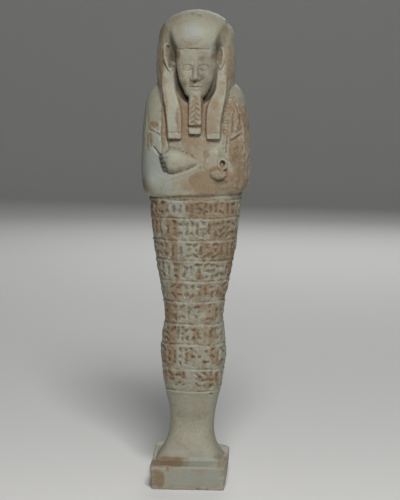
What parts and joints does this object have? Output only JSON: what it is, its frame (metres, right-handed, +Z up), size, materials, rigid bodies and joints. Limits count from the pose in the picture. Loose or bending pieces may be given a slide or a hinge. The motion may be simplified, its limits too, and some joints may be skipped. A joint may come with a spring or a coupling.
{
  "type": "ushabti figurine",
  "caption": "Standing mummiform faience figurine with rows of shallow strokes, crossed hands, long wig, plaited beard, back pillar and low rectangular base.",
  "frame": {"origin": "on the underside of the base, below the axis of the ankles", "axes": "+Z up along the figure, -Y the way the face looks, +X towards the figure's own left hand"},
  "size_m": [0.0437, 0.0378, 0.19],
  "materials": {
    "faience": "weathered Egyptian faience: pale grey-green glaze worn to a matt tan body, brown deposit in the hollows"
  },
  "bodies": {
    "root": {"ushabti": "faience"}
  },
  "joints": []
}
